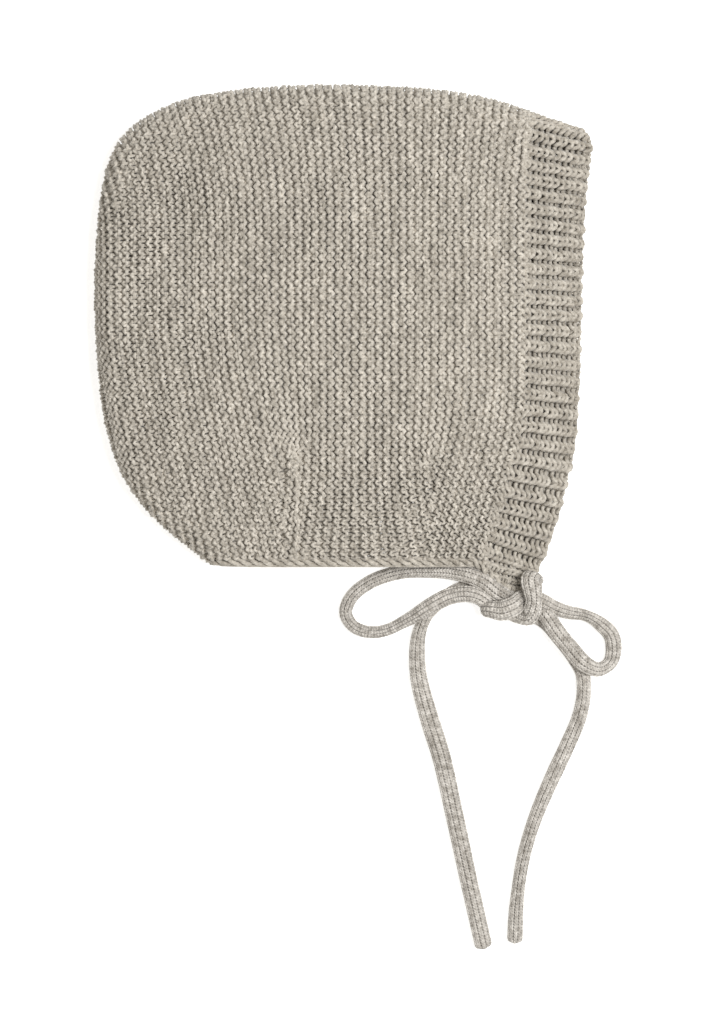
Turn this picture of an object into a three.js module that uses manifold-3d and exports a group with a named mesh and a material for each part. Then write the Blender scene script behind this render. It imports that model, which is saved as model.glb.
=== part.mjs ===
// A baby's knitted bonnet with its two ties in a bow, in millimetres, lying on its side on a table.
// +Z is up from the table, +X is towards the face opening and +Y towards the top of the head.
// The origin lies on the table under the middle of the bonnet, ties not counted.
import * as THREE from "three";
import { mergeVertices } from "three/addons/utils/BufferGeometryUtils.js";
import Module from "manifold-3d";

// Sizes of the knitting
const WALL = 3; // garter stitch, as thick as it is knitted
const GAP = 0.3; // between neighbouring pieces
const FOLD_HEIGHT = 7; // height of the crease where the two layers meet
const FOLD_ROUNDING = 9; // how far in from the crease the layers keep curving
const LAYER_HEIGHT = 13; // height of the upper layer just inside the fold
const SOFT_RISE = 15; // how much higher it lies in its middle
const RISE_MIDDLE = new THREE.Vector2(-5, 5);
const RISE_REACH = new THREE.Vector2(105, 100);

// The crease that closes the bag, from beyond the face over the crown and down the centre back
const FOLD_LINE = [
  { x: 104, y: 57 },
  { x: 86.5, y: 66.8 },
  { x: 74, y: 72.2 },
  { x: 58, y: 78.2 },
  { x: 40, y: 82.2 },
  { x: 14, y: 84.3 },
  { x: -14, y: 84.6 },
  { x: -38, y: 82.8 },
  { x: -57, y: 78.8 },
  { x: -71, y: 71.8 },
  { x: -79.8, y: 62.5 },
  { x: -84.6, y: 46 },
  { x: -86.6, y: 22 },
  { x: -86.3, y: -6 },
  { x: -83.6, y: -32 },
  { x: -77, y: -53 },
  { x: -66, y: -67.6 },
  { x: -47, y: -83.3 },
  { x: -30, y: -97 },
];

// Dents in the upper layer: where, how wide each way and how deep
const DENTS = [
  { name: "chin pulled in by the knot", x: 62, y: -92, wide: 40, tall: 44, deep: 6 },
  { name: "crumpled crown corner", x: -60, y: 47, wide: 20, tall: 15, deep: 2.4 },
  { name: "front dart", x: 31, y: -70, wide: 12, tall: 26, deep: 1.6 },
  { name: "back dart", x: -20, y: -74, wide: 12, tall: 22, deep: 1.4 },
];

// The neck opening is a straight edge with a bound-off chain along it
const NECK_Y = -84.4;
const CHAIN_HEIGHT = 3.4;
const CHAIN_END_X = 46.5;

// The face band, seen from above: its seam with the body and its free edge, from the crown to the chin
const BAND_SEAM = [
  { x: 63.5, y: 72 },
  { x: 63.4, y: 40 },
  { x: 63.4, y: 0 },
  { x: 63.2, y: -26 },
  { x: 60.8, y: -42 },
  { x: 57.3, y: -54 },
  { x: 52.4, y: -70 },
  { x: 49.4, y: -80 },
  { x: 51.6, y: -85.6 },
  { x: 56.6, y: -89.2 },
];
const FACE_EDGE = [
  { x: 86.7, y: 62 },
  { x: 85, y: 46 },
  { x: 83.7, y: 25 },
  { x: 82.9, y: 0 },
  { x: 82.4, y: -20 },
  { x: 80.8, y: -42 },
  { x: 77.4, y: -58 },
  { x: 73.4, y: -73 },
  { x: 69.2, y: -83.6 },
  { x: 65.4, y: -87.8 },
  { x: 61, y: -89.5 },
];
const BAND_HALF = 1.5; // half its thickness
const RIB_HEIGHT = 0.55; // how far a rib stands out and a groove sinks
const RIBS = 57;
const RIB_STEPS = 3; // rings for one rib

// The ties: a round-knitted cord, as wide as it lies in the knot
const TIE_DIAMETER = 4.2;
const TIE_SIDES = 8;
const TIE_STEPS = 79;

// How finely the bag is faceted
const SHEET_STEPS = 18; // from the neck to the top fold in one layer
const COLUMNS = 30; // from the face to the back
const BEYOND_FACE_X = 99;
const BEYOND_NECK_Y = -96;

// The near tie: from the chin out to the left loop, back under the knot and down the right tail
const TIE_NEAR_ROUTE = [
  [58.8, -90.6, 7],
  [58.7, -93, 6.9],
  [57, -95, 6.8],
  [53.9, -94, 7],
  [49.6, -91, 7.2],
  [44.4, -88.6, 7],
  [37.5, -87, 5.6],
  [30.6, -86.7, 4.2],
  [23.6, -86.9, 3.1],
  [16.5, -88.3, 2.3],
  [9.8, -91, 2.2],
  [4, -95.6, 2.2],
  [1.9, -100.9, 2.2],
  [4.3, -105.4, 2.2],
  [9.8, -107.5, 2.2],
  [16.7, -106.6, 2.8],
  [23.6, -102.6, 5.2],
  [30.6, -97.9, 6.8],
  [37.5, -94.6, 6.8],
  [44.3, -93.7, 6.4],
  [48.5, -95, 5.2],
  [52.2, -97.9, 3.2],
  [56.5, -100, 2.2],
  [61.5, -101.2, 2.2],
  [66.3, -102, 2.2],
  [70.3, -104.6, 2.2],
  [75, -110, 2.2],
  [80.4, -116.6, 2.2],
  [84, -121.8, 2.2],
  [85, -128, 2.2],
  [83.6, -137, 2.2],
  [78.9, -148.4, 2.2],
  [74, -158.9, 2.2],
  [68.1, -172.9, 2.2],
  [63.9, -186.9, 2.2],
  [61.6, -202, 2.2],
  [60.8, -217, 2.2],
];

// The far tie: over the front of the knot, behind it, round the base of the left loop, out to the
// right loop, and back beneath everything to the left tail
const TIE_FAR_ROUTE = [
  [59.8, -92.2, 2.3],
  [63, -92.4, 2.3],
  [66.4, -91.4, 2.4],
  [69.6, -89.6, 3.6],
  [71.4, -88.2, 6.8],
  [70, -87.3, 10.6],
  [67.3, -88.8, 12.2],
  [66.4, -92.4, 12.3],
  [66, -96.5, 11.9],
  [65.6, -100.4, 11.2],
  [64.8, -103, 9.1],
  [62.2, -102.5, 7],
  [58, -100.8, 6.8],
  [54, -100.2, 6.8],
  [50.6, -100, 7.6],
  [49.7, -98.9, 9.7],
  [51.8, -98, 11.4],
  [56, -98.3, 11.6],
  [60.2, -96.6, 11.2],
  [62.9, -94, 8.7],
  [66.4, -92, 7],
  [71.2, -93.8, 6.4],
  [75.5, -96.6, 5.4],
  [79.4, -98.6, 4.2],
  [85.2, -100.9, 2.8],
  [91.4, -103.8, 2.2],
  [95.4, -107.8, 2.2],
  [96.4, -112.9, 2.2],
  [94.7, -118, 2.6],
  [90.1, -120.2, 4.8],
  [85.2, -118, 6.8],
  [80.3, -112.6, 6.9],
  [75.5, -106.7, 6.9],
  [72.4, -102, 6.4],
  [70, -99.2, 4.6],
  [66, -97.3, 2.5],
  [61, -96.6, 2.2],
  [56, -95, 2.2],
  [50.8, -92, 2.2],
  [45.5, -91.1, 2.2],
  [40, -92.8, 2.2],
  [34, -96.8, 2.2],
  [29.6, -101.3, 2.2],
  [27.2, -107, 2.2],
  [26.6, -114, 2.2],
  [27.3, -123.9, 2.2],
  [31, -137.9, 2.2],
  [35.4, -151.9, 2.2],
  [40.1, -172.9, 2.2],
  [44.6, -193.9, 2.2],
  [50, -219, 2.2],
];

const wasm = await Module();
wasm.setup();

// Shared vertices are merged, so that the mesh is one closed skin.
function welded(geometry) {
  const skin = geometry.clone();
  skin.deleteAttribute("normal");
  skin.deleteAttribute("uv");
  return mergeVertices(skin, 1e-4);
}

function solidFrom(geometry) {
  const skin = welded(geometry);
  return new wasm.Manifold(
    new wasm.Mesh({
      numProp: 3,
      vertProperties: new Float32Array(skin.getAttribute("position").array),
      triVerts: new Uint32Array(skin.index.array),
    }),
  );
}

function geometryFrom(solid) {
  const { vertProperties, triVerts } = solid.getMesh();
  const geometry = new THREE.BufferGeometry();
  geometry.setAttribute("position", new THREE.BufferAttribute(vertProperties, 3));
  geometry.setIndex(new THREE.BufferAttribute(triVerts, 1));
  return geometry.toNonIndexed();
}

// A closed skin over rings of corners. ringPoint(side, step) places each corner, and a fan from the
// middle of the first and the last ring closes the ends.
function loft(sides, steps, ringPoint) {
  const geometry = new THREE.CylinderGeometry(1, 1, 1, sides, steps);
  const position = geometry.getAttribute("position");
  const corner = new THREE.Vector3();
  const turn = 2 * Math.PI;
  for (let i = 0; i < position.count; i += 1) {
    corner.fromBufferAttribute(position, i);
    const step = Math.round((0.5 - corner.y) * steps);
    const side = Math.round(((Math.atan2(corner.x, corner.z) + turn) / turn) * sides) % sides;
    const onAxis = Math.hypot(corner.x, corner.z) < 0.5;
    const place = onAxis ? ringMiddle(sides, step, ringPoint) : ringPoint(side, step);
    position.setXYZ(i, place.x, place.y, place.z);
  }
  return geometry;
}

function ringMiddle(sides, step, ringPoint) {
  const middle = new THREE.Vector3();
  for (let side = 0; side < sides; side += 1) middle.add(ringPoint(side, step));
  return middle.divideScalar(sides);
}

// The fold line as closely spaced points, moved inwards by inset
const foldCurve = new THREE.SplineCurve(FOLD_LINE.map(({ x, y }) => new THREE.Vector2(x, y)));
const foldOutlines = new Map();
function foldOutline(inset) {
  if (!foldOutlines.has(inset)) {
    const count = 300;
    const points = Array.from({ length: count + 1 }, (_, i) => {
      const along = foldCurve.getTangent(i / count);
      return foldCurve.getPoint(i / count).add(new THREE.Vector2(-along.y, along.x).multiplyScalar(inset));
    });
    foldOutlines.set(inset, points);
  }
  return foldOutlines.get(inset);
}

function distanceToFold(x, y, inset) {
  const points = foldOutline(inset);
  const here = new THREE.Vector2(x, y);
  const nearest = new THREE.Vector2();
  let distance = Infinity;
  for (let i = 1; i < points.length; i += 1) {
    const along = points[i].clone().sub(points[i - 1]);
    const share = here.clone().sub(points[i - 1]).dot(along) / along.lengthSq();
    nearest.copy(points[i - 1]).addScaledVector(along, THREE.MathUtils.clamp(share, 0, 1));
    distance = Math.min(distance, here.distanceTo(nearest));
  }
  return distance;
}

// Where the fold line crosses x: above its backmost point for the crown, below it for the centre back
function foldY(x, inset, crown) {
  const points = foldOutline(inset);
  const back = points.reduce((best, point, i) => (point.x < points[best].x ? i : best), 0);
  const branch = crown ? points.slice(0, back + 1) : points.slice(back).reverse();
  const after = branch.findIndex((point) => point.x <= x);
  if (after < 0) return points[back].y;
  if (after === 0) return crown ? branch[0].y : BEYOND_NECK_Y;
  const [near, far] = [branch[after - 1], branch[after]];
  return THREE.MathUtils.mapLinear(x, near.x, far.x, near.y, far.y);
}

const bump = (share) => Math.max(0, 1 - share * share);

// Height of the upper layer away from the fold
function layerHeight(x, y) {
  const rise = bump((x - RISE_MIDDLE.x) / RISE_REACH.x) * bump((y - RISE_MIDDLE.y) / RISE_REACH.y);
  const dents = DENTS.map((dent) => {
    const share = Math.hypot((x - dent.x) / dent.wide, (y - dent.y) / dent.tall);
    return dent.deep * bump(share) ** 2;
  });
  return LAYER_HEIGHT + SOFT_RISE * rise - dents.reduce((sum, depth) => sum + depth, 0);
}

// A point of the bag's skin seen from above at x, y. It lies inset deep in the wall, and the lower
// layer lies flat on the table.
function skinPoint(x, y, inset, upper) {
  const share = Math.min(1, distanceToFold(x, y, inset) / (FOLD_ROUNDING - inset));
  const round = Math.sqrt(1 - (1 - share) ** 2);
  const flat = upper ? layerHeight(x, y) - inset : inset;
  return new THREE.Vector3(x, y, FOLD_HEIGHT + (flat - FOLD_HEIGHT) * round);
}

// A filled bag, inset deep from the real one, that runs on past both openings. Its rings are cuts
// across the head, and one step more closes them at the back.
function filledBag(inset) {
  const backX = foldOutline(inset).reduce((x, point) => Math.min(x, point.x), 0);
  const sides = 2 * SHEET_STEPS;
  const ring = (side, step) => {
    const quarter = (Math.PI / 2) * Math.min(1, step / (COLUMNS - 0.35));
    const x = BEYOND_FACE_X - (BEYOND_FACE_X - backX) * Math.sin(quarter);
    const top = foldY(x, inset, true);
    const bottom = Math.max(BEYOND_NECK_Y, foldY(x, inset, false));
    const share = (1 + Math.cos((Math.PI * side) / SHEET_STEPS)) / 2;
    return skinPoint(x, THREE.MathUtils.lerp(bottom, top, share), inset, side < SHEET_STEPS);
  };
  return solidFrom(loft(sides, COLUMNS, ring));
}

// A plan region as a tall block, to cut the bag with
function planBlock(corners) {
  const shape = new THREE.Shape(corners.map(({ x, y }) => new THREE.Vector2(x, y)));
  const tall = 60;
  const geometry = new THREE.ExtrudeGeometry(shape, { depth: 2 * tall, bevelEnabled: false });
  return solidFrom(geometry.translate(0, 0, -tall));
}

const planCurve = (rows) => new THREE.SplineCurve(rows.map(({ x, y }) => new THREE.Vector2(x, y)));

function bonnetBody(bag) {
  const outside = 130;
  const bottom = NECK_Y + CHAIN_HEIGHT + GAP;
  const seam = planCurve(BAND_SEAM)
    .getPoints(80)
    .filter(({ y }) => y > bottom)
    .map(({ x, y }) => ({ x: x - GAP, y }));
  const seamFoot = { x: seam.at(-1).x, y: bottom };
  const crown = [{ x: outside - outside, y: outside }, { x: seam[0].x, y: outside }];
  const back = [{ x: -outside, y: bottom }, { x: -outside, y: outside }];
  return bag.intersect(planBlock([...back, ...crown, ...seam, seamFoot]));
}

function neckEdge(bag) {
  const outside = 130;
  const top = NECK_Y + CHAIN_HEIGHT;
  return bag.intersect(
    planBlock([
      { x: -outside, y: NECK_Y },
      { x: CHAIN_END_X, y: NECK_Y },
      { x: CHAIN_END_X, y: top },
      { x: -outside, y: top },
    ]),
  );
}

// One edge of the face band in the middle of its thickness, from the far chin over the crown to the
// near chin
function bandRail(rows) {
  const crown = { x: rows[0].x, y: foldY(rows[0].x, BAND_HALF, true) };
  const plan = planCurve([crown, ...rows]);
  const count = 44;
  const half = (upper) =>
    Array.from({ length: count + 1 }, (_, i) => {
      const { x, y } = plan.getPointAt((i / count) ** 2);
      return skinPoint(x, y, BAND_HALF, upper);
    });
  const rail = new THREE.CatmullRomCurve3([...half(false).reverse(), ...half(true).slice(1)]);
  rail.arcLengthDivisions = 1500;
  return rail;
}

// The band's cut across: share of the way from the seam to the face edge, half thicknesses up, and
// share of the ribs' height. It starts behind the seam, where it is cut to fit the body.
const BAND_SECTION = [
  { across: -0.07, up: -1, rib: 0.3 },
  { across: 0.12, up: -1, rib: 1 },
  { across: 0.86, up: -1, rib: 1 },
  { across: 0.965, up: -0.7, rib: 0.8 },
  { across: 1, up: 0, rib: 0.4 },
  { across: 0.965, up: 0.7, rib: 0.8 },
  { across: 0.86, up: 1, rib: 1 },
  { across: 0.12, up: 1, rib: 1 },
  { across: -0.07, up: 1, rib: 0.3 },
];

// Ribs stand out for two thirds of their pitch, and the grooves between them are narrow.
const RIB_WAVE = [-1, 0.8, 0.8];

function faceBand() {
  const seamRail = bandRail(BAND_SEAM);
  const edgeRail = bandRail(FACE_EDGE);
  const steps = RIBS * RIB_STEPS;
  const ring = (side, step) => {
    const share = step / steps;
    const seam = seamRail.getPointAt(share);
    const across = edgeRail.getPointAt(share).sub(seam);
    const along = seamRail.getTangentAt(share).add(edgeRail.getTangentAt(share));
    const outward = across.clone().cross(along).normalize();
    const { across: way, up, rib } = BAND_SECTION[side];
    const wave = RIB_HEIGHT * rib * RIB_WAVE[step % RIB_STEPS];
    const place = seam.addScaledVector(across, way).addScaledVector(outward, up * BAND_HALF + wave);
    place.z = Math.max(place.z, 0);
    return place;
  };
  const outside = 130;
  const seam = planCurve(BAND_SEAM).getPoints(80).reverse();
  const left = [{ x: seam.at(-1).x, y: outside }, { x: seam[0].x, y: -outside }];
  const right = [{ x: outside, y: -outside }, { x: outside, y: outside }];
  const frontOfSeam = planBlock([left[0], ...right.reverse(), left[1], ...seam]);
  return solidFrom(loft(BAND_SECTION.length, steps, ring)).intersect(frontOfSeam);
}

function tie(route) {
  const path = new THREE.CatmullRomCurve3(route.map((point) => new THREE.Vector3(...point)));
  path.arcLengthDivisions = 2000;
  const corners = Array.from({ length: TIE_SIDES }, (_, i) => {
    const angle = (2 * Math.PI * (i + 0.5)) / TIE_SIDES;
    return new THREE.Vector2(Math.cos(angle), Math.sin(angle)).multiplyScalar(TIE_DIAMETER / 2);
  });
  return new THREE.ExtrudeGeometry(new THREE.Shape(corners), {
    steps: TIE_STEPS,
    extrudePath: path,
    bevelEnabled: false,
  });
}

function wool(name, geometry, color) {
  const mesh = new THREE.Mesh(
    geometry,
    new THREE.MeshStandardMaterial({ color, roughness: 0.95, metalness: 0 }),
  );
  mesh.name = name;
  return mesh;
}

const bag = filledBag(0).subtract(filledBag(WALL));

const bonnet = new THREE.Group();
bonnet.add(
  wool("bonnet_body", geometryFrom(bonnetBody(bag)), 0xafa89c),
  wool("face_band", geometryFrom(faceBand()), 0xa9a296),
  wool("neck_edge", geometryFrom(neckEdge(bag)), 0xa7a094),
  wool("tie_near", tie(TIE_NEAR_ROUTE), 0xbbb6ab),
  wool("tie_far", tie(TIE_FAR_ROUTE), 0xbbb6ab),
);

export default bonnet;
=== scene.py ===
# %% [markdown]
# # A baby's knitted bonnet
#
# The bonnet lies on its side on a table, seen from straight above. Its bag is garter stitch, its face
# band is ribbing, a bound-off chain finishes the neck, and two round-knitted ties make a bow.
# Knitting is rows of yarn, so the rows themselves are modelled: each one is a curve with a round
# bevel that goes up and down through its loops. That gives real ridges, holes and ragged outlines,
# which a picture or a bump on a smooth bag can't.

import math

import bmesh
import bpy
import numpy as np
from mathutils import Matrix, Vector


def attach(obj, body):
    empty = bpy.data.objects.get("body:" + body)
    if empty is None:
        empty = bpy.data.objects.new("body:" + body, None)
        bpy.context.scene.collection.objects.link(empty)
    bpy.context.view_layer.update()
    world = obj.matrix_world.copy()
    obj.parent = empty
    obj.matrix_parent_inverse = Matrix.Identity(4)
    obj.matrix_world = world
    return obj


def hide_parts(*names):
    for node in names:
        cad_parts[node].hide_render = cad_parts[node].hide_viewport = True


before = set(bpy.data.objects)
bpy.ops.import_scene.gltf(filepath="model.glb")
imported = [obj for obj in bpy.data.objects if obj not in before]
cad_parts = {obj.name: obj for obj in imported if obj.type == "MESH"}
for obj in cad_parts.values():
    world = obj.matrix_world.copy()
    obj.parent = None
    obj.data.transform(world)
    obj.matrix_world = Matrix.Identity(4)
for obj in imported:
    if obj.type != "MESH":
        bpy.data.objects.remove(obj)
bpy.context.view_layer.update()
MM = 0.001
print("solids in the frame:", sorted(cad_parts))

# %% [markdown]
# ## The camera
#
# The picture was taken from straight above. A camera a metre over the crease of the bonnet, with a
# long lens, sees it almost without perspective. Its lens is worked out so that one pixel of the
# picture, which is 1024 pixels high, shows 0.35 mm.

# %% Place the camera
PICTURE_HEIGHT = 1024
MM_PER_PIXEL = 0.35
VIEW_MIDDLE = (7.2, -65.1)
FOLD_HEIGHT = 7.0
CAMERA_ABOVE_FOLD = 1000.0
SENSOR = 36.0

camera_data = bpy.data.cameras.new("camera")
camera_data.sensor_width = SENSOR
camera_data.lens = SENSOR * CAMERA_ABOVE_FOLD / (PICTURE_HEIGHT * MM_PER_PIXEL)
camera = bpy.data.objects.new("camera", camera_data)
camera_z = (CAMERA_ABOVE_FOLD + FOLD_HEIGHT) * MM
camera.location = (VIEW_MIDDLE[0] * MM, VIEW_MIDDLE[1] * MM, camera_z)
bpy.context.scene.collection.objects.link(camera)
bpy.context.scene.camera = camera
print("lens in mm:", round(camera_data.lens, 1))

# %% [markdown]
# ## The routes of the ties
#
# A tie is a limp cord of a fixed length, so its route comes first. The near one leaves the chin, makes
# the left loop, comes back under the knot and ends as the right tail. The far one goes over the front
# of the knot, behind it, round the base of the left loop and out as the right loop, and it comes
# back beneath everything to end as the left tail. The points are given in millimetres.

# %% Write down the routes
TIE_NEAR_ROUTE = [
    (58.8, -90.6, 7), (58.7, -93, 6.9), (57, -95, 6.8), (53.9, -94, 7), (49.6, -91, 7.2),
    (44.4, -88.6, 7), (37.5, -87, 5.6), (30.6, -86.7, 4.2), (23.6, -86.9, 3.1), (16.5, -88.3, 2.3),
    (9.8, -91, 2.2), (4, -95.6, 2.2), (1.9, -100.9, 2.2), (4.3, -105.4, 2.2), (9.8, -107.5, 2.2),
    (16.7, -106.6, 2.8), (23.6, -102.6, 5.2), (30.6, -97.9, 6.8), (37.5, -94.6, 6.8),
    (44.3, -93.7, 6.4), (48.5, -95, 5.2), (52.2, -97.9, 3.2), (56.5, -100, 2.2), (61.5, -101.2, 2.2),
    (66.3, -102, 2.2), (70.3, -104.6, 2.2), (75, -110, 2.2), (80.4, -116.6, 2.2), (84, -121.8, 2.2),
    (85, -128, 2.2), (83.6, -137, 2.2), (78.9, -148.4, 2.2), (74, -158.9, 2.2), (68.1, -172.9, 2.2),
    (63.9, -186.9, 2.2), (61.6, -202, 2.2), (60.8, -217, 2.2),
]
TIE_FAR_ROUTE = [
    (59.8, -92.2, 2.3), (63, -92.4, 2.3), (66.4, -91.4, 2.4), (69.6, -89.6, 3.6), (71.4, -88.2, 6.8),
    (70, -87.3, 10.6), (67.3, -88.8, 12.2), (66.4, -92.4, 12.3), (66, -96.5, 11.9),
    (65.6, -100.4, 11.2), (64.8, -103, 9.1), (62.2, -102.5, 7), (58, -100.8, 6.8), (54, -100.2, 6.8),
    (50.6, -100, 7.6), (49.7, -98.9, 9.7), (51.8, -98, 11.4), (56, -98.3, 11.6), (60.2, -96.6, 11.2),
    (62.9, -94, 8.7), (66.4, -92, 7), (71.2, -93.8, 6.4), (75.5, -96.6, 5.4), (79.4, -98.6, 4.2),
    (85.2, -100.9, 2.8), (91.4, -103.8, 2.2), (95.4, -107.8, 2.2), (96.4, -112.9, 2.2),
    (94.7, -118, 2.6), (90.1, -120.2, 4.8), (85.2, -118, 6.8), (80.3, -112.6, 6.9),
    (75.5, -106.7, 6.9), (72.4, -102, 6.4), (70, -99.2, 4.6), (66, -97.3, 2.5), (61, -96.6, 2.2),
    (56, -95, 2.2), (50.8, -92, 2.2), (45.5, -91.1, 2.2), (40, -92.8, 2.2), (34, -96.8, 2.2),
    (29.6, -101.3, 2.2), (27.2, -107, 2.2), (26.6, -114, 2.2), (27.3, -123.9, 2.2), (31, -137.9, 2.2),
    (35.4, -151.9, 2.2), (40.1, -172.9, 2.2), (44.6, -193.9, 2.2), (50, -219, 2.2),
]
NEARLY_NOTHING = 1e-12


def smooth_line(points, steps=12):
    """A smooth line through the points, with that many steps between neighbours."""
    p = np.array(points, float)
    p = np.vstack([2 * p[0] - p[1], p, 2 * p[-1] - p[-2]])
    share = np.arange(steps)[:, None] / steps
    line = []
    for a, b, c, d in zip(p, p[1:], p[2:], p[3:]):
        ab, bc, cd = (np.linalg.norm(v) ** 0.5 for v in (b - a, c - b, d - c))
        leave = ((b - a) / ab - (c - a) / (ab + bc) + (c - b) / bc) * bc
        arrive = ((c - b) / bc - (d - b) / (bc + cd) + (d - c) / cd) * bc
        curve = b + leave * share + (3 * (c - b) - 2 * leave - arrive) * share**2
        line.append(curve + (2 * (b - c) + leave + arrive) * share**3)
    return np.vstack([*line, p[-2]])


def lengths_along(line):
    """How far along a line each of its points lies."""
    return np.concatenate([[0], np.cumsum(np.linalg.norm(np.diff(line, axis=0), axis=1))])


def at_lengths(line, wanted, values=None):
    """Points of a line, or other values that belong to them, at distances from its start."""
    along = lengths_along(line)
    values = line if values is None else values
    return np.stack([np.interp(wanted, along, column) for column in values.T], axis=1)


def unit(vectors):
    """The same directions, each with a length of 1."""
    return vectors / (np.linalg.norm(vectors, axis=1)[:, None] + NEARLY_NOTHING)


for name, route in (("near", TIE_NEAR_ROUTE), ("far", TIE_FAR_ROUTE)):
    print(name, "tie length in mm:", round(lengths_along(smooth_line(route))[-1], 1))

# %% [markdown]
# ## The shape of the bag
#
# The bag lies flattened: a lower layer flat on the table, an upper layer that rises softly, and a
# rounded crease that joins them over the crown and down the centre back. A height above each point
# of the plan is enough to describe it, with a quarter ellipse for the rounding near the crease. The
# middle of the knitting lies a small inset under that outside, so that its loops just reach it.

# %% Describe the bag
KNIT_INSET = 2.25
FOLD_ROUNDING = 9.0
LAYER_HEIGHT = 13.0
SOFT_RISE = 15.0
RISE_MIDDLE = (-5.0, 5.0)
RISE_REACH = (105.0, 100.0)
FOLD_LINE = [
    (104, 62.5), (84.4, 69.6), (73.5, 73), (58, 78.2), (40, 82.2), (14, 84.3), (-14, 84.6),
    (-38, 82.8), (-57, 78.8), (-71, 71.8), (-79.8, 62.5), (-84.6, 46), (-86.6, 22), (-86.3, -6),
    (-83.6, -32), (-77, -53), (-66, -67.6), (-47, -83.3), (-30, -97),
]
DENTS = [
    {"name": "chin pulled in by the knot", "x": 62, "y": -92, "wide": 40, "tall": 44, "deep": 6},
    {"name": "crumpled crown corner", "x": -60, "y": 47, "wide": 20, "tall": 15, "deep": 2.4},
    {"name": "front dart", "x": 31, "y": -70, "wide": 12, "tall": 26, "deep": 1.6},
    {"name": "back dart", "x": -20, "y": -74, "wide": 12, "tall": 22, "deep": 1.4},
]


def bump(share):
    """1 in the middle of a dent or a rise, and 0 at its edge, where share is 1."""
    return np.clip(1 - share**2, 0, None)


def layer_height(x, y):
    """Height of the upper layer's outside, away from the crease."""
    rise = bump((x - RISE_MIDDLE[0]) / RISE_REACH[0]) * bump((y - RISE_MIDDLE[1]) / RISE_REACH[1])
    height = LAYER_HEIGHT + SOFT_RISE * rise
    for dent in DENTS:
        share = np.hypot((x - dent["x"]) / dent["wide"], (y - dent["y"]) / dent["tall"])
        height = height - dent["deep"] * bump(share) ** 2
    return height


print("height of the bag's middle in mm:", round(float(layer_height(*RISE_MIDDLE)), 1))

# %% [markdown]
# A stitch has to know where it lies and which way is out. Both follow from how far inside the crease
# it is. Beyond the rounding the skin has the slope of its layer, and within the rounding it turns
# over until it faces straight out of the crease.

# %% Find the bag's skin
BATCH = 4000
fold_line = smooth_line(FOLD_LINE, 16)


def fold_at(inset):
    """The crease moved inwards, and the outward direction at each of its points."""
    along = np.gradient(fold_line, axis=0)
    along /= np.linalg.norm(along, axis=1)[:, None]
    outward = np.stack([along[:, 1], -along[:, 0]], axis=1)
    return fold_line - outward * inset, outward


def from_fold(x, y, inset):
    """How far inside the crease each point lies, and which way out the crease is. The points are
    taken in batches, to spare memory."""
    line, out = fold_at(inset)
    start, step = line[:-1], np.diff(line, axis=0)
    distance, outward = np.empty(len(x)), np.empty((len(x), 2))
    for first in range(0, len(x), BATCH):
        batch = slice(first, first + BATCH)
        here = np.stack([x[batch], y[batch]], axis=1)
        share = ((here[:, None] - start) * step).sum(2) / (step**2).sum(1)
        foot = start + step * np.clip(share, 0, 1)[..., None]
        best = np.linalg.norm(here[:, None] - foot, axis=2).argmin(1)
        way = foot[np.arange(len(here)), best] - here
        outward[batch] = out[best]
        distance[batch] = (way * out[best]).sum(1)
    return distance, outward


def skin(x, y, upper, inset=KNIT_INSET):
    """Points of the bag's skin and their outward directions. upper is True for the upper layer."""
    x, y = np.asarray(x, float), np.asarray(y, float)
    distance, outward = from_fold(x, y, inset)
    reach = FOLD_ROUNDING - inset
    share = 1 - np.clip(distance / reach, 0, 1)
    rounding = np.sqrt(1 - share**2)
    step = 0.5
    slope_x = (layer_height(x + step, y) - layer_height(x - step, y)) / (2 * step)
    slope_y = (layer_height(x, y + step) - layer_height(x, y - step)) / (2 * step)
    if upper:
        flat, side, tilt = layer_height(x, y) - inset, 1.0, rounding**2
    else:
        flat, side, tilt = inset, -1.0, 0.0
    rise = flat - FOLD_HEIGHT
    z = FOLD_HEIGHT + rise * rounding
    lean = side * rise * share / reach
    normal_x = lean * outward[:, 0] - tilt * slope_x
    normal_y = lean * outward[:, 1] - tilt * slope_y
    normal = np.stack([normal_x, normal_y, side * rounding], axis=1)
    return np.stack([x, y, z], axis=1), unit(normal)


print("length of the crease in mm:", round(lengths_along(fold_line)[-1]))

# %% [markdown]
# ## Yarn
#
# One row of knitting is one length of yarn that snakes through its loops. Seen flat, it swings
# up to the head of each loop and down to its foot, and it leans back at the legs, so that a loop is
# wider than its neck. Seen from the side, a knitted row lifts its heads and sinks its feet, and a
# purled row does the opposite. One helper turns any row into such a line, and another one makes a
# group of lines a curve object with a round bevel.

# %% Make helpers for the yarn
SEED = 7
UNEVEN = {"loop": 0.12, "row": 0.14, "slide": 0.055, "lift": 0.15, "thickness": 0.08}
dice = np.random.default_rng(SEED)


def frame_along(line, normals):
    """Unit vectors along a line and across it, in its surface."""
    along = unit(np.gradient(line, axis=0))
    return along, unit(np.cross(normals, along))


def uneven(turns, size):
    """A smooth random value for each stitch, since no two loops are the same."""
    knots = np.arange(math.floor(turns.min()) - 1, math.ceil(turns.max()) + 2)
    return np.interp(turns, knots, dice.normal(0, size, len(knots)))


def yarn_row(line, normals, turns, stitch, loop, lean, lift, skew=0.0):
    """The yarn of one row. line is its middle, turns counts its stitches at each point, lift is
    how far each point stands out of the surface, and skew pushes heads and feet apart sideways."""
    angle = 2 * math.pi * turns
    along, across = frame_along(line, normals)
    swing = loop * np.cos(angle) * (1 + uneven(turns, UNEVEN["loop"])) + uneven(turns, UNEVEN["row"])
    slide = stitch * (lean * np.sin(2 * angle) + uneven(turns, UNEVEN["slide"])) - skew * np.cos(angle)
    lift = lift + uneven(turns, UNEVEN["lift"])
    return line + along * slide[:, None] + across * swing[:, None] + normals * lift[:, None]


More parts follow.
